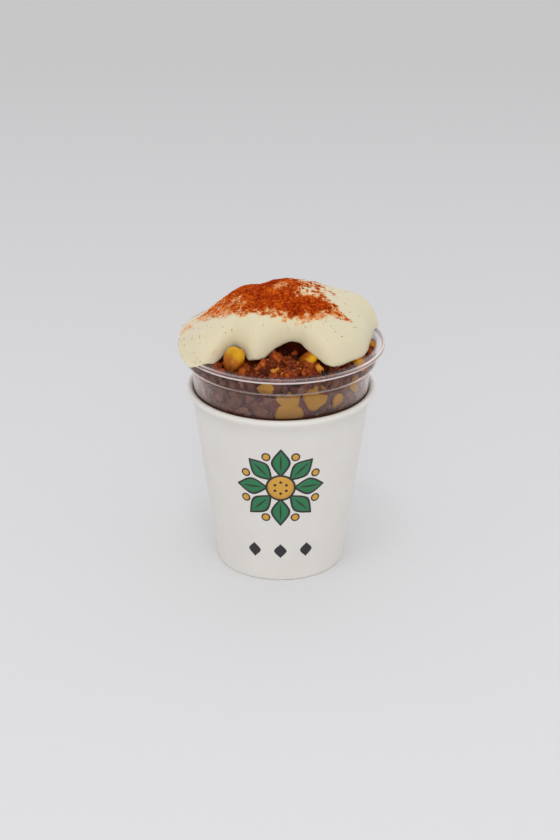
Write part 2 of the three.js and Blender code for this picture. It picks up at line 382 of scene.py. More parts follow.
# ---------------------------------------------------------------- clear cup
# Thermoformed PET a little over half a millimetre thick: a tapered wall, a small ledge, an upright band, and
# a rim curled out and down to a trimmed edge. It stands in the paper cup and holds the food.

# The share of the light that a face reflects head on, and how late that rises edge on.
PET_REFLECTION = (0.035, 5.0)
CURL_REFLECTION = (0.012, 9.0)  # lower, because the curl's many faces add up
PET_HAZE = 0.42  # how milky each face is where it is seen edge on
BAND_HAZE = 0.16  # likewise above the ledge
PET_WALL = 0.6 * MM
PET_CLEARANCE = 0.5 * MM
PET_LIFT = 0.4 * MM
PET_FILLET = 1.7 * MM
BAND_RADIUS = 45.1 * MM
LEDGE_HEIGHT = 103.0 * MM
LEDGE_RISE = 0.55 * MM
UPRIGHT_FROM = 88 * MM  # above this height the wall leans less
UPRIGHT_SLOPE = 0.055
CURL_HEIGHT = 1.4 * MM
CURL_LEG = 0.8 * MM  # straight part of the curl's outer side, below which its lip turns in
RIM_DROP = 2.8 * MM
LIP_TURN = 1.0 * MM
LIP_FROST_AND_HIGHLIGHT = 0.75 * MM  # height of the trimmed edge, frosted white and partly a painted highlight
BEND_HIGHLIGHT = (48.3 * MM, 48.75 * MM)  # radii between which the curl's top is whitened as a painted highlight
LEDGE_HIGHLIGHT = (102.85 * MM, 103.95 * MM)  # heights between which the band's lower bend is whitened as a painted highlight
WALL_RINGS = [z * MM for z in (*range(16, 89, 6), 94, 99)]  # heights of the wall's points
BAND_RINGS = [LEDGE_HIGHLIGHT[1], 106 * MM, 108 * MM, 110.5 * MM]
LEDGE_STEPS = 12

pet_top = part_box("clear_cup")[1].z
pet_rim_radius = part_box("clear_cup")[1].x
pet_bottom = PAPER_RECESS + PAPER_WALL + PET_LIFT


def share_between(value, start, end):
    """How far a value has come from start to end, from 0 to 1."""
    return min(max((value - start) / (end - start), 0), 1)


def eased(share):
    """The same share with a gentle start and end."""
    return share * share * (3 - 2 * share)


def pet_outside(z):
    """Outer radius of the clear cup below its curl, blended over the ledge."""
    share = share_between(z, LEDGE_HEIGHT - LEDGE_RISE, LEDGE_HEIGHT + LEDGE_RISE)
    leaning = min(z, UPRIGHT_FROM)
    below = paper_inside(leaning) - PET_CLEARANCE + (min(z, LEDGE_HEIGHT) - leaning) * UPRIGHT_SLOPE
    return below + (BAND_RADIUS - below) * eased(share)


def pet_inside(z):
    """Its inner radius."""
    return pet_outside(z) - PET_WALL


def thickened(line, wall):
    """A closed outline that runs up one side of a middle line and back down the other."""
    line = np.array(line)
    run = np.gradient(line, axis=0)
    run /= np.linalg.norm(run, axis=1)[:, None]
    side = np.stack([run[:, 1], -run[:, 0]], axis=1) * wall / 2
    loop = [tuple(p) for p in np.concatenate([line + side, (line - side)[::-1]])]
    return [(max(r, 0), z) for r, z in loop + loop[:1]]


def plastic(name, see_through, reflection, frost, least, most, reach):
    """PET: clear and colourless with sharp reflections, and milky by between the least and the most share. It
    is milkiest where it is seen edge on: where the cube of how far edge on comes to the reach."""
    material, tree, out = new_material(name)
    facing = add_node(tree, "LayerWeight", Blend=0.5).outputs["Facing"]
    steep = add_node(tree, "Math", {"operation": "POWER"}, _0=facing, _1=reflection[1])
    mirror = add_node(tree, "MapRange", Value=steep.outputs[0], To_Min=reflection[0], To_Max=1.0)
    clear = add_node(tree, "BsdfTransparent", Color=see_through)
    gloss = add_node(tree, "BsdfGlossy", Color="#FAF7FC", Roughness=0.06)
    shiny = add_node(tree, "MixShader", _0=mirror.outputs[0], _1=clear.outputs[0], _2=gloss.outputs[0])
    place = add_node(tree, "TexCoord").outputs["Object"]
    level = add_node(tree, "VectorMath", {"operation": "MULTIPLY"}, _0=place, _1=(1, 1, 0))
    radial = add_node(tree, "VectorMath", {"operation": "NORMALIZE"}, _0=level.outputs[0])
    edge_on = add_node(tree, "LayerWeight", Blend=0.5, Normal=radial.outputs[0]).outputs["Facing"]
    cubed = add_node(tree, "Math", {"operation": "POWER"}, _0=edge_on, _1=3.0)
    milky = add_node(tree, "MapRange", Value=cubed.outputs[0], From_Max=reach, To_Min=least, To_Max=most)
    white = add_node(tree, "BsdfPrincipled", Base_Color=frost, Roughness=0.3)
    whole = add_node(tree, "MixShader", _0=milky.outputs[0], _1=shiny.outputs[0], _2=white.outputs[0])
    tree.links.new(whole.outputs[0], out.inputs[0])
    return material


# The trimmed edge is frosted white, partly for real and partly as a painted highlight. The two sharp bends
# are whitened as painted highlights.
clear_plastics = [
    plastic("clear_pet", "#F8F7F8", PET_REFLECTION, "#F8E9DE", 0.0, PET_HAZE, 0.5),
    plastic("trimmed_pet_edge_and_highlight", "#F4F4F6", CURL_REFLECTION, "#F4E8E4", 0.85, 0.45, 0.3),
    plastic("pet_bend_painted_highlight", "#F4F4F6", CURL_REFLECTION, "#F6E4DC", 0.2, 0.9, 0.12),
    plastic("curled_pet", "#F8F7F8", CURL_REFLECTION, "#F6EAE4", 0.0, BAND_HAZE, 0.5),
]

half_wall = PET_WALL / 2
curl_r = (BAND_RADIUS + pet_rim_radius - PET_WALL) / 2
curl_half = (pet_rim_radius - BAND_RADIUS) / 2
curl_z = pet_top - half_wall - CURL_HEIGHT
fillet_z = pet_bottom + half_wall + PET_FILLET
fillet_r = pet_outside(fillet_z) - half_wall - PET_FILLET
line = [(0, pet_bottom + half_wall), (fillet_r / 2, pet_bottom + half_wall)]
line += arc((fillet_r, fillet_z), (PET_FILLET,) * 2, -90, 0, 6)
ledge_rings = [LEDGE_HEIGHT + LEDGE_RISE * (2 * i / LEDGE_STEPS - 1) for i in range(LEDGE_STEPS + 1)]
line += [(pet_outside(z) - half_wall, z) for z in WALL_RINGS + ledge_rings + BAND_RINGS]
line += arc((curl_r, curl_z), (curl_half, CURL_HEIGHT), 180, 0, 24)
lip_r = curl_r + curl_half
line += [(lip_r, curl_z - 0.5 * CURL_LEG), (lip_r, curl_z - CURL_LEG)]
line += [(lip_r - LIP_TURN, pet_top - RIM_DROP)]
clear_cup = make_object("clear_cup_shell", turned(thickened(line, PET_WALL)), clear_plastics)
# The trimmed edge, frosted and partly a painted highlight; the two sharp bends, painted highlights; and the
# band with the rest of the curl.
for face in clear_cup.data.polygons:
    r, z = math.hypot(face.center.x, face.center.y), face.center.z
    if r > lip_r - LIP_TURN - half_wall and z < pet_top - RIM_DROP + LIP_FROST_AND_HIGHLIGHT:
        face.material_index = 1
    elif BEND_HIGHLIGHT[0] < r < BEND_HIGHLIGHT[1] and z > curl_z:
        face.material_index = 2
    elif LEDGE_HIGHLIGHT[0] < z < LEDGE_HIGHLIGHT[1] and r > BAND_RADIUS - MM and face.normal.z < 0.2:
        face.material_index = 2
    elif z > LEDGE_HIGHLIGHT[1]:
        face.material_index = 3
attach(clear_cup, "root")
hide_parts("clear_cup")


# ---------------------------------------------------------------- corn heap: core
# Fine crumbs of fried meat and batter, soaked dark with sauce and oil, fill every gap between the kernels.
# They are the heap's own solid, shrunk a little and given a crumbly relief.

CRUMB_DARK = "#220B04"
CRUMB_RED = "#7A2A09"
CRUMB_GOLD = "#B85612"
CRUMB_HONEY = "#DC9034"
SOAKED_BROWN = "#5A3630"
SOAKED_TAN = "#86604E"
CORE_SHRINK = 1.9 * MM  # how far the crumbs' surface lies within the heap's solid
WALL_SHRINK = 1.1 * MM  # likewise behind the clear wall, where the crumbs are packed tight
PACKED_RADII = (36 * MM, 39 * MM)  # they come to be packed between these radii
PACKED_HEIGHTS = (108 * MM, 104 * MM)  # and between these heights
CORE_DULL = (38.5 * MM, 40.5 * MM)  # radii over which the crumbs turn dull towards the wall
CORE_TONE = 0.38
CORE_VOXEL = 1.0 * MM
CORE_RELIEF = 0.9 * MM
CORE_PITCH = 3.4 * MM
CORE_FRACTAL = (0.8, 2.1, 3)  # fall in strength, ratio of pitch, and count of the layers of bumps
# The layer of food that shows through the clear wall: its foot, the top of its soaked part, and its top.
WALL_LAYER = (84 * MM, 107 * MM, 111 * MM)
# Hollows that the sauce bridges at the front: middle, radius and depth in mm, and how much painted shade
# darkens the food in them.
HOLLOWS = [((4.5, -22), 9, 5, 0.55), ((21.5, -37.8), 4.8, 4.5, 0.95)]
PAINTED_SHADE_RADIUS = 41 * MM  # beyond it, what lies lower shows through the wall and gets no painted shade
DULL_TOP = (110.6 * MM, 109.2 * MM)  # going down between these heights, food comes to be pressed dull


def round_fall(distance, reach):
    """What is left of a dip or patch at some distance from its middle, falling from 1 on a rounded curve."""
    return math.exp(-((distance / reach) ** 2))


def hollowed(x, y):
    """How deep the hollows are at that place in plan, and how much painted shade darkens the food."""
    depth = painted_shade = 0
    for middle, reach, deepest, painted_darkest in HOLLOWS:
        share = round_fall(math.dist((x / MM, y / MM), middle), reach)
        depth += deepest * share * MM
        painted_shade += painted_darkest * share
    return depth, painted_shade


def bmesh_of(mesh):
    """A bmesh copy of a mesh."""
    bm = bmesh.new()
    bm.from_mesh(mesh)
    return bm


def merged_copy(node):
    """A bmesh copy of a CAD node with its loose triangles joined."""
    bm = bmesh_of(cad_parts[node].data)
    bmesh.ops.remove_doubles(bm, verts=bm.verts, dist=MERGE_DISTANCE)
    return bm


def add_voxels(obj, size):
    """Rebuilds an object as an even smooth net of small faces."""
    remesh = obj.modifiers.new("voxels", "REMESH")
    remesh.mode = "VOXEL"
    remesh.voxel_size = size
    remesh.use_smooth_shade = True


def finished(obj):
    """Applies an object's modifiers to its mesh, and gives a bmesh of it."""
    depsgraph = bpy.context.evaluated_depsgraph_get()
    mesh = bpy.data.meshes.new_from_object(obj.evaluated_get(depsgraph))
    obj.modifiers.clear()
    old = obj.data
    obj.data = mesh
    bpy.data.meshes.remove(old)
    mesh.name = obj.name
    bm = bmesh_of(mesh)
    bm.normal_update()
    return bm


def crumb_material(name, coarse, gloss, dull_radii):
    """Fried crumbs: dark red-brown to golden, with an oily shine that breaks up on every grain. They turn
    dull between two radii, where they come up against the clear cup."""
    material, tree, out = new_material(name)
    place = add_node(tree, "TexCoord").outputs["Object"]
    tone = add_node(tree, "Attribute", {"attribute_name": "tone"}).outputs["Fac"]
    broad = add_node(tree, "TexNoise", Vector=place, Scale=1 / (coarse * 2.2), Detail=3.0)
    fine = add_node(tree, "TexNoise", Vector=place, Scale=1 / (coarse * 0.35), Detail=5.0, Roughness=0.65)
    patchy = add_node(tree, "Math", {"operation": "MULTIPLY_ADD"}, _0=broad.outputs["Fac"], _1=0.8, _2=-0.4)
    grainy = add_node(tree, "Math", {"operation": "MULTIPLY_ADD"}, _0=fine.outputs["Fac"], _1=1.4, _2=-0.45)
    level = add_node(tree, "Math", {"operation": "ADD"}, _0=patchy.outputs[0], _1=grainy.outputs[0])
    # The tone moves the colour along the ramp; a tone below 0 is painted shade in the hollows.
    level = add_node(tree, "Math", {"operation": "MULTIPLY_ADD"}, _0=tone, _1=0.7, _2=level.outputs[0])
    ramp = add_node(tree, "ValToRGB", Fac=level.outputs[0])
    ramp.color_ramp.elements[0].position = 0.08
    ramp.color_ramp.elements[0].color = colour(CRUMB_DARK)
    ramp.color_ramp.elements[1].color = colour(CRUMB_HONEY)
    ramp.color_ramp.elements.new(0.52).color = colour(CRUMB_RED)
    ramp.color_ramp.elements.new(0.88).color = colour(CRUMB_GOLD)
    flat = add_node(tree, "VectorMath", {"operation": "MULTIPLY"}, _0=place, _1=(1, 1, 0))
    radius = add_node(tree, "VectorMath", {"operation": "LENGTH"}, _0=flat.outputs[0]).outputs["Value"]
    start, end = dull_radii
    soaked = add_node(tree, "MapRange", Value=radius, From_Min=start, From_Max=end, To_Max=0.85)
    height = add_node(tree, "SeparateXYZ", _0=place).outputs["Z"]
    below = add_node(tree, "MapRange", Value=height, From_Min=DULL_TOP[0], From_Max=DULL_TOP[1])
    # Pieces in painted shade don't turn soaked and dull.
    outside_painted_shade = add_node(tree, "MapRange", Value=tone, From_Min=-0.5, From_Max=0.0)
    soaked = add_node(tree, "Math", {"operation": "MULTIPLY"}, _0=soaked.outputs[0], _1=below.outputs[0])
    soaked = add_node(tree, "Math", {"operation": "MULTIPLY"}, _0=soaked.outputs[0], _1=outside_painted_shade.outputs[0])
    dull = add_node(tree, "Mix", COLOUR_MIX, _0=level.outputs[0], _6=SOAKED_BROWN, _7=SOAKED_TAN)
    crust = add_node(tree, "Mix", COLOUR_MIX, _0=soaked.outputs[0], _6=ramp.outputs[0], _7=dull.outputs[2])
    bump = add_node(tree, "Bump", Strength=0.8, Distance=0.6 * MM, Height=fine.outputs["Fac"])
    shader = add_node(
        tree,
        "BsdfPrincipled",
        Base_Color=crust.outputs[2],
        Roughness=gloss,
        Specular_IOR_Level=0.14,
        Normal=bump.outputs[0],
    )
    tree.links.new(shader.outputs[0], out.inputs[0])
    return material


crumbs = crumb_material("fried_crumbs", 2.4 * MM, 0.38, CORE_DULL)
core = make_object("corn_heap_core", merged_copy("corn_heap"), [crumbs])
add_voxels(core, CORE_VOXEL)
bm = finished(core)
tone_layer = bm.verts.layers.float.new("tone")
for v in bm.verts:
    bumps = noise.fractal(v.co / CORE_PITCH, *CORE_FRACTAL) * CORE_RELIEF
    depth, painted_shade = hollowed(v.co.x, v.co.y) if v.co.z > WALL_LAYER[0] else (0, 0)
    # Food in the hollows gets a lower tone: painted shade.
    v[tone_layer] = CORE_TONE - (painted_shade if v.co.xy.length < PAINTED_SHADE_RADIUS else 0)
    packed = share_between(v.co.xy.length, *PACKED_RADII) * share_between(v.co.z, *PACKED_HEIGHTS)
    shrink = CORE_SHRINK + (WALL_SHRINK - CORE_SHRINK) * packed
    v.co += v.normal * (bumps - shrink)
    if packed:
        v.co.xy *= min(pet_inside(v.co.z) / v.co.xy.length, 1)
    v.co.z -= depth
bm.to_mesh(core.data)
bm.free()
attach(core, "root")
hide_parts("corn_heap")


# ---------------------------------------------------------------- corn heap: kernels
# Large sweetcorn kernels fried whole: a rounded crown, a flat body with a germ hollow on one face, and a
# narrow tip. They lie pressed flat against the clear wall, and at every angle where the heap is bare.

KERNEL_YELLOW = "#D8A008"
KERNEL_AMBER = "#AE5E0C"
KERNEL_TAN = "#B68A3A"
KERNEL_TIP = "#A8702E"
KERNEL_SCORCH = "#7A3C10"
OIL_STAIN_AND_SHADE = "#46200C"
STAIN_AND_SHADE_HEIGHTS = (88.5 * MM, 95.5 * MM)  # the oil's stain and painted shade fade between these
KERNEL_SIZE = Vector((5.9, 2.9, 6.3)) * MM  # half the width, thickness and length
KERNEL_SQUARENESS = 2.6  # 2 would make it a ball, and more makes it boxier
TIP_SIZE = (0.58, 0.65)  # the tip's width and thickness as shares of the crown's
GERM_HOLLOW = (0.45, 0.3, -0.15, 0.55)  # depth, reach across, middle and reach along, in half kernel sizes
KERNEL_BUMPS = (0.12, 5 * MM)  # how unevenly each is swollen, and the pitch
KERNEL_TRIES = 900
KERNEL_SIZES = (0.82, 1.05)
KERNEL_LEAN = 1.2  # most, in radians
KERNEL_DEPTHS = (0.75, 1.3)  # how deep its middle lies behind the wall, as shares of its half thickness
WALL_TONES = (0.4, 1)  # 0 is freshly fried, and 1 is steamed pale
PRESSED_DEPTH = 0.35  # the depth of the kernels that show best
PRESSED_TONES = (0.8, 1)
WALL_PRESS = 0.25 * MM  # how far a kernel flattened on the clear cup reaches into its wall
KERNEL_GAP = (12.5 * MM, 10.5 * MM)  # least distance between kernels at the front and elsewhere
FRONT_ANGLE = math.radians(100)  # the front half and a little more
FRONT_TOP = 105 * MM  # above it only meat lies against the front of the wall
SIGHT_START = 200 * MM  # higher than everything
# The kernels that show best through the wall: degrees from the front, height in mm, degrees of spin and lean,
# and size.
WALL_KERNELS = [
    (22.8, 99.7, 12, 0, 1.1), (4.5, 100.3, 95, -20, 0.9), (5.8, 91.8, -100, 0, 1.08),
    (-9.5, 105.9, 85, 35, 0.66), (40, 95.0, 30, 20, 0.62), (58, 101, -20, 30, 1),
]
# The kernels bare at the top: middle, then the ways the crown and the broad face point, then size and tone. A
# tone below 0 makes a kernel darker: the first two are fried a little darker, and the last two get painted
# shade, as they lie shaded by the sauce and the cup.
BARE_KERNELS = [
    ((-22.1, -31.8, 115.2), (0.5, 0.3, 0.85), (-0.62, -0.7, 0.33), Vector((0.93, 1, 1.08)), -0.05),
    ((12.3, -28.4, 114.7), (0.5, -0.5, 0.55), (-0.4, -0.2, 0.85), 0.82, -0.05),
    ((38.2, -19.5, 109.6), (-0.48, -0.87, 0.15), (0.4, -0.25, 0.85), 0.86, -0.25),
    ((41.6, 2.0, 110.8), (0.05, -1.0, 0.1), (0.5, 0.0, 0.85), 0.8, -0.35),
]

rng = np.random.default_rng(7)


def sight_tree(bm):
    """What a line of sight is tested against, made from a bmesh, which is then let go."""
    tree = BVHTree.FromBMesh(bm)
    bm.free()
    return tree


heap_tree = sight_tree(merged_copy("corn_heap"))
sauce_tree = sight_tree(merged_copy("sauce"))


def seen_below(tree, x, y):
    """The place that a look straight down meets first, and the way it faces there."""
    spot, normal, _, _ = tree.ray_cast(Vector((x, y, SIGHT_START)), Vector((0, 0, -1)))
    return spot, normal


def heap_top(x, y):
    """Height of the heap's solid, less the hollows."""
    spot = seen_below(heap_tree, x, y)[0]
    return spot.z - hollowed(x, y)[0] if spot else 0.0


def sauce_over(x, y):
    """Whether the sauce covers that place in plan."""
    return seen_below(sauce_tree, x, y)[0] is not None


def kernel_shape():
    """Vertices, faces and distance from the tip of one kernel, 2 units long each way."""
    depth, across, middle, reach = GERM_HOLLOW
    bm = bmesh.new()
    bmesh.ops.create_cube(bm, size=2)
    bmesh.ops.subdivide_edges(bm, edges=bm.edges, cuts=5, use_grid_fill=True)
    along = []
    for v in bm.verts:
        v.co /= sum(abs(c) ** KERNEL_SQUARENESS for c in v.co) ** (1 / KERNEL_SQUARENESS)
        along.append((v.co.z + 1) / 2)
        taper = eased(share_between(v.co.z, -1, 0))
        v.co.x *= TIP_SIZE[0] + (1 - TIP_SIZE[0]) * taper
        v.co.y *= TIP_SIZE[1] + (1 - TIP_SIZE[1]) * taper
        if v.co.y < 0:
            v.co.y += depth * round_fall(v.co.x, across) * round_fall(v.co.z - middle, reach)
    verts, faces = arrays_of(bm)
    return verts, faces, np.array(along)


def joined_copies(name, shape, places, tones, material, wobble, pitch, press=0.0):
    """One mesh of many copies of a shape, each unevenly swollen, and flattened where it meets the clear cup.
    Wobble and pitch say how uneven and how fine the swellings are."""
    verts, faces, along = shape
    points, polygons = [], []
    for i, place in enumerate(places):
        moved = verts @ np.array(place.to_3x3()).T
        for k, offset in enumerate(moved):
            sample = Vector(offset) / pitch + Vector((i * 3.7, i * 1.3, 0))
            rough = noise.noise(sample) + 0.5 * noise.noise(sample * 2.3)
            offset *= 1 + wobble * rough
            spot = offset + place.translation
            radius = math.hypot(spot[0], spot[1])
            limit = pet_inside(spot[2]) + press
            if spot[2] < pet_top and radius > limit:
                spot[0] *= limit / radius
                spot[1] *= limit / radius
            points.append(spot)
        polygons += [[i * len(verts) + k for k in face] for face in faces]
    tones, along = np.repeat(tones, len(verts)), np.tile(along, len(places))
    food = object_of(name, points, polygons, material, tone=tones, along=along)
    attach(food, "root")
    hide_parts("corn_heap")


def placed(centre, face, up, size):
    """A matrix that puts a shape's -Y side to face that way and its Z along up."""
    y = -Vector(face).normalized()
    z = (Vector(up) - y * Vector(up).dot(y)).normalized()
    turn = Matrix((y.cross(z), y, z)).transposed()
    return Matrix.Translation(centre) @ turn.to_4x4() @ Matrix.Diagonal(Vector(size)).to_4x4()


def against_wall(angle, height, spin, lean, size, depth):
    """A kernel's place on the clear wall, at an angle from the front towards +X. Lean turns its edge to the
    wall, and depth is where its middle lies, as a share of its half thickness."""
    outward = Vector((math.sin(angle), -math.cos(angle), 0))
    side = Vector((math.cos(angle), math.sin(angle), 0))
    up = Vector((0, 0, 1)) * math.cos(spin) + side * math.sin(spin)
    face = outward * math.cos(lean) + up.cross(outward) * math.sin(lean)
    half = abs(math.cos(lean)) * size[1] + abs(math.sin(lean)) * size[0]
    centre = outward * (pet_inside(height) - depth * half) + Vector((0, 0, height))
    return placed(centre, face, up, size)


# Sweetcorn skin fried in oil: golden at the crown and browner towards the tip, faintly wrinkled, with a thin
# oily shine. Behind the wall it is steamed to a dull tan, and darker low down near the paper cup's mouth:
# partly where oil has crept up, partly painted shade.
corn_skin, tree, out = new_material("fried_kernel_skin")
place = add_node(tree, "TexCoord").outputs["Object"]
tone = add_node(tree, "Attribute", {"attribute_name": "tone"}).outputs["Fac"]
along = add_node(tree, "Attribute", {"attribute_name": "along"}).outputs["Fac"]
patches = add_node(tree, "TexNoise", Vector=place, Scale=0.25 / MM, Detail=3.0, Roughness=0.6)
wrinkles = add_node(tree, "TexNoise", Vector=place, Scale=0.7 / MM, Detail=3.0)
crown = add_node(tree, "MapRange", Value=along, From_Min=0.85, From_Max=0.3, To_Min=-0.1, To_Max=0.75)
browning = add_node(tree, "Math", {"operation": "MULTIPLY_ADD"}, _0=patches.outputs["Fac"], _1=0.9, _2=-0.4)
browning = add_node(tree, "Math", {"operation": "ADD"}, _0=browning.outputs[0], _1=crown.outputs[0])
# A tone below 0 browns the skin: a little more frying, and painted shade for the two shaded kernels at the
# right.
darker = add_node(tree, "MapRange", Value=tone, From_Min=0.0, From_Max=-1.0)
browning = add_node(tree, "Math", {"operation": "ADD"}, _0=browning.outputs[0], _1=darker.outputs[0])
fried = add_node(tree, "ValToRGB", Fac=browning.outputs[0])
fried.color_ramp.elements[0].color = colour(KERNEL_YELLOW)
fried.color_ramp.elements[1].color = colour(KERNEL_SCORCH)
fried.color_ramp.elements.new(0.55).color = colour(KERNEL_AMBER)
steamed = add_node(tree, "MapRange", Value=patches.outputs["Fac"], From_Min=0.3, From_Max=0.75, To_Max=0.5)
pale = add_node(tree, "Mix", COLOUR_MIX, _0=steamed.outputs[0], _6=KERNEL_TAN, _7=KERNEL_TIP)
clean = add_node(tree, "Mix", COLOUR_MIX, _0=tone, _6=fried.outputs[0], _7=pale.outputs[2])
level = add_node(tree, "SeparateXYZ", _0=place).outputs["Z"]
low, high = STAIN_AND_SHADE_HEIGHTS
# Darker towards the paper cup's mouth: an oil stain and painted shade.
oiled_and_shaded = add_node(tree, "MapRange", Value=level, From_Min=high, From_Max=low, To_Max=0.6)
skin = add_node(tree, "Mix", COLOUR_MIX, _0=oiled_and_shaded.outputs[0], _6=clean.outputs[2], _7=OIL_STAIN_AND_SHADE)
bump = add_node(tree, "Bump", Strength=0.35, Distance=0.4 * MM, Height=wrinkles.outputs["Fac"])
shader = add_node(
    tree,
    "BsdfPrincipled",
    Base_Color=skin.outputs[2],
    Roughness=0.32,
    Specular_IOR_Level=0.2,
    Normal=bump.outputs[0],
)
tree.links.new(shader.outputs[0], out.inputs[0])

places, tones = [], []  # the kernels' places are kept, so that the meat lies between them
for angle, height, spin, lean, size in WALL_KERNELS:
    turns = math.radians(spin), math.radians(lean)
    place = against_wall(math.radians(angle), height * MM, *turns, KERNEL_SIZE * size, PRESSED_DEPTH)
    places.append(place)
    tones.append(rng.uniform(*PRESSED_TONES))
for middle, crown, face, size, tone_value in BARE_KERNELS:
    places.append(placed(Vector(middle) * MM, face, crown, KERNEL_SIZE * size))
    tones.append(tone_value)
# The rest of the wall's layer. None show at the left of the front, where meat lies against the wall.
for _ in range(KERNEL_TRIES):
    angle, height = rng.uniform(-math.pi, math.pi), rng.uniform(WALL_LAYER[0], WALL_LAYER[2])
    size = KERNEL_SIZE * rng.uniform(*KERNEL_SIZES)
    lean, spin = rng.uniform(-KERNEL_LEAN, KERNEL_LEAN), rng.uniform(-math.pi, math.pi)
    place = against_wall(angle, height, spin, lean, size, rng.uniform(*KERNEL_DEPTHS))
    front = abs(angle) < FRONT_ANGLE
    if front and (height > FRONT_TOP or angle < 0):
        continue
    gap = KERNEL_GAP[0 if front else 1]
    if all((place.translation - other.translation).length > gap for other in places):
        places.append(place)
        tones.append(rng.uniform(*WALL_TONES))
kernel_places = places
joined_copies("corn_kernels", kernel_shape(), places, tones, corn_skin, *KERNEL_BUMPS, WALL_PRESS)


# ---------------------------------------------------------------- corn heap: meat and crumbs
# Minced meat fried with the corn: craggy lumps up to a centimetre, with smaller crumbs of meat and batter
# between them, all red-brown and oily. They lie loose, packed behind the clear wall and heaped at the front.

LUMP_SIZES = (1.6, 3.6)  # radius in mm
BAY_LUMP_SIZES = (1.2, 2.9)
CRUMB_SIZES = (0.5, 1.4)
LUMP_PRESS = 0.05 * MM
LUMP_DEPTHS = (0.35, 0.9)  # how deep a lump's middle lies behind the wall, as shares of its radius
LUMP_SUNK = 0.7  # most that it lies under the heap's top, likewise
LUMP_STRETCH = ((0.5, 0.9), (0.6, 1.5))  # its other two sizes, as shares of its radius
MEAT_DULL = (42.7 * MM, 43.9 * MM)  # radii over which the meat turns dull towards the wall
WALL_LUMPS = 380
TOP_LUMPS = 90
BAY_LUMPS = 300
WALL_CRUMBS = 200
BAY_CRUMBS = 1200
KERNEL_MARGIN = 0.6  # share of its own radius that a lump keeps clear of a kernel
BAY_FIELD = ((-44 * MM, 44 * MM), (-44 * MM, 14 * MM))  # the sides and the front and back of the bare part
BAY_RADIUS = 43.5 * MM
SAUCE_MARGIN = (0.95, 2 * MM)  # lumps stop short of the sauce by this share across and this distance forwards
# Golden crumbs of batter that stand out at the front: middle, radius and tone.
GOLD_CRUMBS = [
    ((-3.3, -40.0, 112.8), 2.3, 1.45), ((0.6, -41.0, 111.9), 1.9, 1.25), ((-1.6, -38.4, 113.4), 1.6, 1.6),
    ((17.2, -36.5, 113.2), 2.3, 1.1), ((6.0, -24.5, 115.5), 2.0, 0.5), ((8.2, -37.5, 113.0), 1.9, 0.9),
    ((43.0, -6.5, 110.9), 2.4, 0.35), ((42.0, -11.5, 110.6), 2.6, 0.6), ((40.6, -15.5, 110.2), 2.0, 0.2),
]


def rough_ball(subdivisions):
    """Vertices and faces of a ball that copies are made from, with a value of 0 at each vertex."""
    bm = bmesh.new()
    bmesh.ops.create_icosphere(bm, subdivisions=subdivisions, radius=1)
    verts, faces = arrays_of(bm)
    return verts, faces, np.zeros(len(verts))


def rough_place(centre, radius):
    """A lump's place, randomly turned and drawn out."""
    turn = Matrix.Rotation(rng.uniform(0, math.tau), 4, Vector(rng.normal(size=3)).normalized())
    stretch = Vector((1, rng.uniform(*LUMP_STRETCH[0]), rng.uniform(*LUMP_STRETCH[1])))
    return Matrix.Translation(centre) @ turn @ Matrix.Diagonal(stretch * radius).to_4x4()


gold_places = [rough_place(Vector(middle) * MM, radius * MM) for middle, radius, _ in GOLD_CRUMBS]
kept_clear = [place.inverted() for place in kernel_places + gold_places]


def clear_of_kernels(centre, radius):
    """Whether a lump there leaves every kernel's face and every golden crumb in view."""
    least = 1 + KERNEL_MARGIN * radius / KERNEL_SIZE.y
    return all((space @ centre).length > least for space in kept_clear)


def behind_wall(count, sizes, bottom, top):
    """Places for lumps between two heights in a layer behind the clear wall, all the way round."""
    places = []
    while len(places) < count:
        angle, height = rng.uniform(-math.pi, math.pi), rng.uniform(bottom, top)
        radius = rng.uniform(*sizes) * MM
        reach = pet_inside(height) - radius * rng.uniform(*LUMP_DEPTHS)
        centre = Vector((math.sin(angle) * reach, -math.cos(angle) * reach, height))
        if clear_of_kernels(centre, radius):
            places.append(rough_place(centre, radius))
    return places


def over_bay(count, sizes, lift):
    """Places for lumps where the sauce leaves the heap bare. Lift is how far their middles may lie over the
    heap's top, as a share of their radii."""
    places = []
    while len(places) < count:
        x, y = rng.uniform(*BAY_FIELD[0]), rng.uniform(*BAY_FIELD[1])
        if math.hypot(x, y) > BAY_RADIUS or sauce_over(x * SAUCE_MARGIN[0], y + SAUCE_MARGIN[1]):
            continue
        radius = rng.uniform(*sizes) * MM
        centre = Vector((x, y, heap_top(x, y) + rng.uniform(-LUMP_SUNK, lift) * radius))
        if clear_of_kernels(centre, radius):
            places.append(rough_place(centre, radius))
    return places


def painted_shades(places):
    """How much painted shade darkens each piece lying in a hollow, unless it shows through the clear wall."""
    darker = []
    for x, y, z in (place.translation for place in places):
        behind = z < DULL_TOP[0] and math.hypot(x, y) > PAINTED_SHADE_RADIUS
        darker.append(0 if behind else hollowed(x, y)[1])
    return np.array(darker)


# Meat soaked in oil and pressed against the plastic is smooth, dull and greyish brown, in cloudy patches.
soaked, tree, out = new_material("oil_soaked_meat")
place = add_node(tree, "TexCoord").outputs["Object"]
tone = add_node(tree, "Attribute", {"attribute_name": "tone"}).outputs["Fac"]
mottle = add_node(tree, "TexNoise", Vector=place, Scale=0.3 / MM, Detail=4.0, Roughness=0.6)
level = add_node(tree, "Math", {"operation": "MULTIPLY_ADD"}, _0=mottle.outputs["Fac"], _1=1.2, _2=-0.6)
level = add_node(tree, "Math", {"operation": "ADD"}, _0=level.outputs[0], _1=tone)
shade = add_node(tree, "Mix", COLOUR_MIX, _0=level.outputs[0], _6=SOAKED_BROWN, _7=SOAKED_TAN)
shader = add_node(
    tree, "BsdfPrincipled", Base_Color=shade.outputs[2], Roughness=0.45, Specular_IOR_Level=0.15
)
tree.links.new(shader.outputs[0], out.inputs[0])

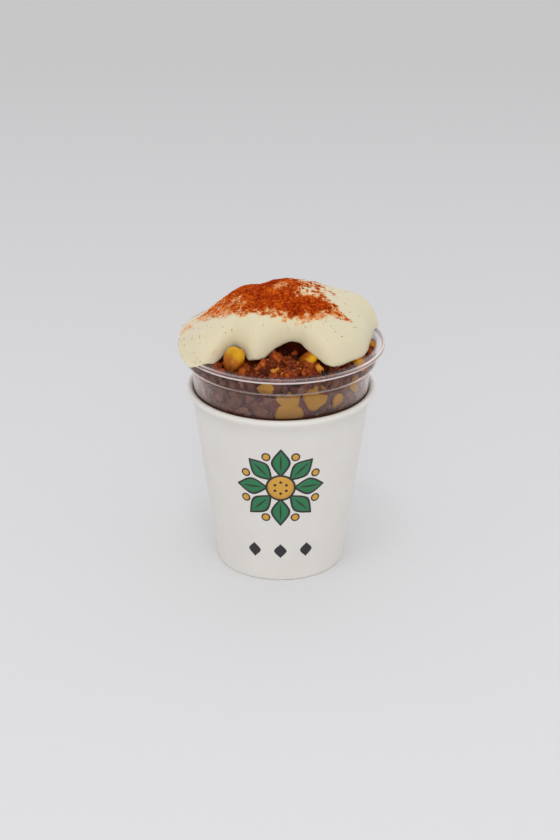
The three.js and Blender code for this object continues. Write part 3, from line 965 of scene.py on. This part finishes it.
foot, dull_top, top = WALL_LAYER
places = behind_wall(WALL_LUMPS, LUMP_SIZES, foot, dull_top)
places += behind_wall(WALL_CRUMBS, CRUMB_SIZES, foot, dull_top)
tones = rng.uniform(0, 1, len(places))
ball = rough_ball(2)
joined_copies("soaked_meat", ball, places, tones, soaked, wobble=0.6, pitch=2.6 * MM, press=LUMP_PRESS)

places = over_bay(BAY_LUMPS, BAY_LUMP_SIZES, 0.5) + behind_wall(TOP_LUMPS, LUMP_SIZES, dull_top, top)
# Pieces lying in the hollows get lower tones: painted shade.
tones = rng.beta(0.8, 0.9, len(places)) * 0.75 - painted_shades(places)  # mostly either dark or light
meat = crumb_material("minced_meat", 2.0 * MM, 0.32, MEAT_DULL)
joined_copies("meat_lumps", ball, places, tones, meat, wobble=0.75, pitch=1.5 * MM, press=LUMP_PRESS)

places = over_bay(BAY_CRUMBS, CRUMB_SIZES, 1.4)
# Likewise painted shade for crumbs in the hollows.
tones = rng.uniform(0, 0.9, len(places)) - painted_shades(places)
tones = np.append(tones, [tone for _, _, tone in GOLD_CRUMBS])
places += gold_places
batter = crumb_material("fried_batter", 1.2 * MM, 0.36, MEAT_DULL)
joined_copies("batter_crumbs", rough_ball(1), places, tones, batter, wobble=0.6, pitch=1.0 * MM)


# ---------------------------------------------------------------- painted shadow line
# A thin dark brown ring in the narrow gap between the two cups: painted shadow for the shade there, shaped
# as frying oil that has crept up. It stands as a thin dark line along the paper cup's mouth and clings to the
# clear cup as a film.

PAINTED_SHADOW_BROWN = "#3A1C0C"
PAINTED_SHADOW_HEIGHTS = (87.3 * MM, 88.6 * MM, 90.4 * MM)  # foot, level at the paper, and top of the film
PAINTED_SHADOW_FILM = 0.05 * MM

# Painted shadow: a brown so dark that a thin line of it looks nearly black, and hardly shiny, since little
# light gets in between the cups.
painted_shadow_material, tree, out = new_material("painted_shadow_brown")
shader = add_node(tree, "BsdfPrincipled", Base_Color=PAINTED_SHADOW_BROWN, Roughness=0.4, Specular_IOR_Level=0.08)
tree.links.new(shader.outputs[0], out.inputs[0])
foot, level, top = PAINTED_SHADOW_HEIGHTS
outline = [(paper_inside(foot), foot), (paper_inside(level), level)]
outline += [(pet_outside(level) + 4 * PAINTED_SHADOW_FILM, level)]
outline += [(pet_outside(top) + PAINTED_SHADOW_FILM, top), (pet_outside(top) - PAINTED_SHADOW_FILM, top)]
outline += [(pet_outside(foot) - PAINTED_SHADOW_FILM, foot), (paper_inside(foot), foot)]
painted_shadow_line = make_object("painted_shadow_line", turned(outline), [painted_shadow_material])
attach(painted_shadow_line, "root")


# ---------------------------------------------------------------- sauce
# A thick mayonnaise-like sauce spooned over the heap. It holds soft folds and rounded, hanging edges, and
# shines softly. Chilli powder has soaked into its top and stains it orange.

SAUCE_CREAM = "#DDD4B2"
SAUCE_PALE = "#E2D9BB"
STAIN_PEACH = "#EAA96C"
STAIN_TAN = "#D67D32"
POWDER_ORANGE = "#DF5A05"
POWDER_RED = "#962802"
SAUCE_VOXEL = 0.75 * MM
SAUCE_SMOOTHING = 10
TOP_SMOOTHING = 45  # more passes for all but the hanging edges and what faces down
UNDERSIDE = -0.3  # the upward part of a normal, below which it faces down
EDGE_HEIGHT = 115.5 * MM
SAUCE_SWELL = 0.1 * MM
FOLD_PITCH = 15 * MM
FOLD_DEPTH = 0.6 * MM
RIPPLE_PITCH = 4.5 * MM
RIPPLE_DEPTH = 0.28 * MM
SIDE_RELIEF = 0.3  # the share of folds and ripples on upright faces
GRAIN_RELIEF = 0.5 * MM
# Where the crest has slumped, where the front edge hangs lower, and where on the right that edge lies further
# in: x, reach and depth in mm.
SLUMPS = [(-10.5, 6, 2.4), (-28, 12, 1.6), (-38, 6, 1.5)]
SAGS = [(-42, 4.5, 1.9), (-31, 7, 1.6), (-16, 3, 2.4), (-7.5, 4, 1.9), (-1, 4, 1.2), (25, 9, 1), (41, 7, 1.8)]
SET_BACK = [(45, 6, 1.6)]
SLUMP_SPAN = (-18 * MM, -6 * MM)  # the slumps fade in between these, going back
SAG_SPAN = (EDGE_HEIGHT + 7 * MM, EDGE_HEIGHT)  # the sags fade in between these, going down
SAG_FRONT = -6 * MM  # and between the cup's middle and here, going forwards
CORNER = -37 * MM  # the full corner at the far left, which stays as it is
HEADROOM = 0.45 * MM  # kept free under the top of the model's box for the powder
SQUASH = 0.2  # the share that is left of what stands higher than that
FACING = 2.2  # how fast powder takes hold as a face turns upwards
# Where the dense powder ends, in plan, in mm.
POWDER_EDGE = [
    (-39, 1), (-33, -8), (-25, -13.5), (-17, -17.5), (-9, -19.5), (-5, -18.5), (1, -19.5), (9, -19),
    (15, -20), (22, -15), (31, -13.5), (24, -8.5), (19, -2.5), (9, -4), (8, 12), (-4, 21), (-20, 23),
    (-35, 12),
]
POWDER_FADE = (-2.1, 4.1)  # how far within that edge, in mm, it starts and is complete
EDGE_RAGGED = 2  # how far the edge wanders in and out, in mm
EDGE_PITCH = 4.5
BLOB_PITCH = 1.8
STREAKS = ((15, 8), (9, 12), 0.5)  # the sparse streaks beside it: middle, reach and largest share
STREAK_LEVELS = (0.3, 0.4, 0.8)  # their share in the middle, its fall at their reach, and how uneven it is
# Where it lies thin: middle, radius in mm and share missing.
THIN_SPOTS = [
    ((0.5, 4.5), 3.8, 1), ((-2.5, 2.5), 3, 0.8), ((-17.5, -7), 4.5, 0.5), ((-25, -3), 4, 0.5),
    ((-27, -10), 3, 0.4), ((-5, -17.5), 3, 0.7), ((-22, 0), 3, 0.4), ((25, -13), 5, 0.45),
    ((18, -18.5), 3.5, 0.6), ((12, -20), 2.5, 0.5),
]
THIN_STAIN = 0.26  # the share that the stain is worth there
WISPS = [((-36.5, 3), 3, 0.45), ((-44.5, -1), 3, 0.17)]  # beyond its left end: middle, radius and share
SPARSE_SIDE = (-10, -38)  # it thins out from the first x to the second, in mm
SPARSE_SHARE = 0.2  # what is left of it there
PATCHES = ((2.6, 0.7), (1.2, 0.6))  # pitches in mm and strengths of its denser and barer patches
SOAKED_SHARE = 0.12  # the share that the stain between the grains is worth
FULL_FROM = 1 / 3  # the patches and that stain fade out below this share
THIN_LIGHT = 0.25  # how much lighter the powder looks where it is thin
MEAN_SHADE = 0.42
SIDE_LIGHT = 0.3  # how much lighter it is at the left
CLUMPS = ((4.5, 0.35), (1.1, 0.45))  # pitches in mm and strengths of its lighter and darker patches
STRAY_PITCH = 1.5  # size in mm of the faint stains that stray grains leave
STRAY_RARITY = 0.4
STRAY_SIDE = -15  # in mm, to the right of which they get rarer
STRAY_RISE = 0.012  # how much rarer, per mm
STRAY_STRENGTH = 0.4
STRAY_MOST = 0.1


def edge_distance(x, y):
    """How far a place in plan lies within the dense powder's edge, negative outside it."""
    nearest, inside = math.inf, False
    for (ax, ay), (bx, by) in zip(POWDER_EDGE, POWDER_EDGE[1:] + POWDER_EDGE[:1]):
        run_x, run_y = bx - ax, by - ay
        share = share_between((x - ax) * run_x + (y - ay) * run_y, 0, run_x**2 + run_y**2)
        nearest = min(nearest, math.hypot(x - ax - share * run_x, y - ay - share * run_y))
        if (ay > y) != (by > y) and x < ax + run_x * (y - ay) / run_y:
            inside = not inside
    return nearest if inside else -nearest


def sparseness(x):
    """How far towards the thinly covered left side a place is, from 0 to 1."""
    return share_between(x, *SPARSE_SIDE)


def powder_density(spot):
    """Share of the sauce that chilli powder covers."""
    spot = spot / MM
    x, y, _ = spot
    blobs = noise.noise(spot / BLOB_PITCH)
    ragged = EDGE_RAGGED * (noise.noise(spot / EDGE_PITCH) + blobs)
    (middle_x, middle_y), (reach_x, reach_y), most = STREAKS
    level, fall, uneven = STREAK_LEVELS
    outwards = ((x - middle_x) / reach_x) ** 2 + ((y - middle_y) / reach_y) ** 2
    streaks = level - fall * outwards + uneven * blobs
    share = max(share_between(edge_distance(x, y) + ragged, *POWDER_FADE), min(streaks, most))
    share *= 1 - (1 - SPARSE_SHARE) * sparseness(x)
    for middle, radius, most in WISPS:
        share = max(share, most * round_fall(math.dist((x, y), middle), radius))
    present = share_between(share, 0, FULL_FROM)
    share += sum(strength * noise.noise(spot / pitch) for pitch, strength in PATCHES) * present
    share = max(share, SOAKED_SHARE * present)
    stain = min(share, THIN_STAIN)
    for middle, radius, missing in THIN_SPOTS:
        share *= 1 - missing * round_fall(math.dist((x, y), middle), radius)
    rarity = STRAY_RARITY + STRAY_RISE * max(x - STRAY_SIDE, 0)
    stray = STRAY_STRENGTH * (noise.noise(spot / STRAY_PITCH + Vector((5, 3, 1))) - rarity)
    return max(share, stain, min(stray, STRAY_MOST), 0)


def powder_shade(spot):
    """How light the powder is there, from 0 for its dark patches to 1."""
    spot = spot / MM
    patches = sum(strength * noise.noise(spot / pitch + Vector((7, 2, 9))) for pitch, strength in CLUMPS)
    return MEAN_SHADE + patches + SIDE_LIGHT * sparseness(spot.x)


def sunk(x, dips):
    """How far a place across the cup is sunk by dips that lie side by side."""
    return sum(depth * MM * round_fall(x / MM - middle, reach) for middle, reach, depth in dips)


sauce = make_object("sauce_blanket", merged_copy("sauce"), [])
add_voxels(sauce, SAUCE_VOXEL)
soften = sauce.modifiers.new("soften", "SMOOTH")
soften.factor = 0.5
soften.iterations = SAUCE_SMOOTHING
bm = finished(sauce)
smoothed = [v for v in bm.verts if v.co.z > EDGE_HEIGHT and v.normal.z > UNDERSIDE and v.co.x > CORNER]
for _ in range(TOP_SMOOTHING):
    bmesh.ops.smooth_vert(bm, verts=smoothed, factor=0.5, use_axis_x=True, use_axis_y=True, use_axis_z=True)
bm.normal_update()
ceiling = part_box("sauce")[1].z - HEADROOM
powder_layer = bm.verts.layers.float.new("powder")
shade_layer = bm.verts.layers.float.new("powder_shade")
for v in bm.verts:
    x, y, z = v.co
    share = powder_density(v.co) * share_between(v.normal.z * FACING, 0, 1)
    shade = powder_shade(v.co)
    v[powder_layer] = share
    v[shade_layer] = shade + THIN_LIGHT * (1 - min(share, 1))
    folds = noise.noise(v.co / FOLD_PITCH + Vector((3, 1, 5))) * FOLD_DEPTH
    ripples = noise.noise(v.co / RIPPLE_PITCH) * RIPPLE_DEPTH
    relief = (folds + ripples) * (SIDE_RELIEF + (1 - SIDE_RELIEF) * max(v.normal.z, 0))
    v.co += v.normal * (SAUCE_SWELL + relief + shade * share * GRAIN_RELIEF)
    behind = share_between(y, *SLUMP_SPAN) if z > EDGE_HEIGHT else 0
    low = share_between(z, *SAG_SPAN) * share_between(y, 0, SAG_FRONT)
    v.co.x -= low * sunk(x, SET_BACK)
    v.co.z -= behind * sunk(x, SLUMPS) + low * sunk(x, SAGS)
    v.co.z = min(v.co.z, ceiling + SQUASH * (v.co.z - ceiling))
bm.to_mesh(sauce.data)
bm.free()

# Thick oil and egg whipped together: opaque cream that light soaks into a little, with a soft sheen. Where
# powder lies it is dry and rough, stained from peach at the edges to tan.
cream, tree, out = new_material("mayonnaise_sauce")
place = add_node(tree, "TexCoord").outputs["Object"]
powder = add_node(tree, "Attribute", {"attribute_name": "powder"}).outputs["Fac"]
patch = add_node(tree, "Attribute", {"attribute_name": "powder_shade"}).outputs["Fac"]
cloud = add_node(tree, "TexNoise", Vector=place, Scale=0.12 / MM, Detail=4.0)
speck = add_node(tree, "TexNoise", Vector=place, Scale=1.3 / MM, Detail=4.0, Roughness=0.7)
base = add_node(tree, "Mix", COLOUR_MIX, _0=cloud.outputs["Fac"], _6=SAUCE_CREAM, _7=SAUCE_PALE)
spread = add_node(tree, "Math", {"operation": "MULTIPLY_ADD"}, _0=speck.outputs["Fac"], _1=0.9, _2=-0.45)
level = add_node(tree, "Math", {"operation": "ADD"}, _0=powder, _1=spread.outputs[0])
wet = add_node(tree, "MapRange", Value=level.outputs[0], From_Min=-0.06, From_Max=0.28)
reached = add_node(tree, "MapRange", Value=powder, From_Min=0.0, From_Max=0.1)
stain = add_node(tree, "Math", {"operation": "MULTIPLY"}, _0=wet.outputs[0], _1=reached.outputs[0])
dusted = add_node(tree, "MapRange", Value=level.outputs[0], From_Min=0.38, From_Max=0.7)
deep = add_node(tree, "MapRange", Value=level.outputs[0], From_Min=0.12, From_Max=0.45)
tint = add_node(tree, "Mix", COLOUR_MIX, _0=deep.outputs[0], _6=STAIN_PEACH, _7=STAIN_TAN)
stained = add_node(tree, "Mix", COLOUR_MIX, _0=stain.outputs[0], _6=base.outputs[2], _7=tint.outputs[2])
grit = add_node(tree, "Math", {"operation": "ADD"}, _0=patch, _1=spread.outputs[0])
dust = add_node(tree, "Mix", COLOUR_MIX, _0=grit.outputs[0], _6=POWDER_RED, _7=POWDER_ORANGE)
covered = add_node(tree, "Mix", COLOUR_MIX, _0=dusted.outputs[0], _6=stained.outputs[2], _7=dust.outputs[2])
rough = add_node(tree, "MapRange", Value=stain.outputs[0], To_Min=0.38, To_Max=0.9)
height = add_node(tree, "Math", {"operation": "MULTIPLY"}, _0=speck.outputs["Fac"], _1=dusted.outputs[0])
bump = add_node(tree, "Bump", Strength=0.7, Distance=0.5 * MM, Height=height.outputs[0])
shader = add_node(
    tree,
    "BsdfPrincipled",
    Base_Color=covered.outputs[2],
    Roughness=rough.outputs[0],
    Specular_IOR_Level=0.18,
    Subsurface_Weight=0.55,
    Subsurface_Radius=(1, 0.8, 0.5),
    Subsurface_Scale=2.4 * MM,
    Normal=bump.outputs[0],
)
tree.links.new(shader.outputs[0], out.inputs[0])
sauce.data.materials.append(cream)
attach(sauce, "root")
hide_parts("sauce")


# ---------------------------------------------------------------- chilli powder
# Coarse ground dried chilli shaken over the sauce: flat angular flakes of skin up to a millimetre, thick in
# the middle and thinning to single grains down the front.

GRAIN_COUNT = 19000
GRAIN_SIZES = (0.18, 0.5)  # half width in mm
GRAIN_STRETCH = ((0.5, 0.9), (0.3, 0.6))  # its other two sizes, as shares of its half width
GRAIN_UNEVEN = (0.7, 1.2)  # how far out its corners lie
GRAIN_TILT = 0.7  # most, in radians
GRAIN_TONES = 0.25  # how much darker or lighter than the powder there
GRAIN_FIELD = ((-48 * MM, 48 * MM), (-38 * MM, 46 * MM))
STEEPEST = 0.25  # the least upward part of the normal of a face that holds a grain
CROWDING = 1.8  # how much faster the grains get rare than the powder gets thin
LOOSE_SHARES = (0.003, 0.0014)  # chance of a grain where the powder has run out, at the left and elsewhere
LOOSE_SIDE = -24 * MM
LOOSE_BELOW = 0.15  # grains in powder thinner than this lie alone, and look smaller and darker
LOOSE_SIZE = 0.9
LOOSE_DARK = -0.3
GRAIN_LIFT = 0.15  # how high a grain lies, as a share of its half width
CHILLI_SHADES = ("#6A1802", "#B83C04", "#EC7C20")  # from the skins' dark side to crushed flesh

# Dried skins, crushed: matt and brittle, from dark red to the bright orange of their insides.
chilli, tree, out = new_material("ground_chilli")
tone = add_node(tree, "Attribute", {"attribute_name": "tone"}).outputs["Fac"]
ramp = add_node(tree, "ValToRGB", Fac=tone)
ramp.color_ramp.elements[0].color = colour(CHILLI_SHADES[0])
ramp.color_ramp.elements[1].color = colour(CHILLI_SHADES[2])
ramp.color_ramp.elements.new(0.5).color = colour(CHILLI_SHADES[1])
shader = add_node(
    tree, "BsdfPrincipled", Base_Color=ramp.outputs[0], Roughness=0.8, Specular_IOR_Level=0.04
)
tree.links.new(shader.outputs[0], out.inputs[0])

bm = bmesh.new()
bmesh.ops.create_uvsphere(bm, u_segments=4, v_segments=2, radius=1)
flake, flake_faces = arrays_of(bm)
surface = sight_tree(bmesh_of(sauce.data))
points, tones = [], []
while len(points) < GRAIN_COUNT:
    x, y = rng.uniform(*GRAIN_FIELD[0]), rng.uniform(*GRAIN_FIELD[1])
    spot, normal = seen_below(surface, x, y)
    if spot is None or normal.z < STEEPEST:
        continue
    density = powder_density(spot)
    if rng.random() > max(density**CROWDING, LOOSE_SHARES[0 if x < LOOSE_SIDE else 1]):
        continue
    loose = density <= LOOSE_BELOW
    half = rng.uniform(*GRAIN_SIZES) * MM * (LOOSE_SIZE if loose else 1)
    stretch = np.array((1, rng.uniform(*GRAIN_STRETCH[0]), rng.uniform(*GRAIN_STRETCH[1]))) * half
    turn = Vector((0, 0, 1)).rotation_difference(normal).to_matrix()
    turn = turn @ Matrix.Rotation(rng.uniform(0, math.tau), 3, "Z")
    turn = turn @ Matrix.Rotation(rng.uniform(-GRAIN_TILT, GRAIN_TILT), 3, "X")
    shape = flake * rng.uniform(*GRAIN_UNEVEN, (len(flake), 1)) * stretch
    points.append(shape @ np.array(turn).T + np.array(spot + normal * half * GRAIN_LIFT))
    lighter = LOOSE_DARK if loose else THIN_LIGHT * (1 - min(density, 1))
    tones.append(powder_shade(spot) + rng.uniform(-GRAIN_TONES, GRAIN_TONES) + lighter)
polygons = [[i * len(flake) + k for k in face] for i in range(len(points)) for face in flake_faces]
tones = np.repeat(tones, len(flake))
points = np.concatenate(points).tolist()
chilli_powder = object_of("chilli_powder", points, polygons, chilli, smooth=False, tone=tones)
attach(chilli_powder, "root")
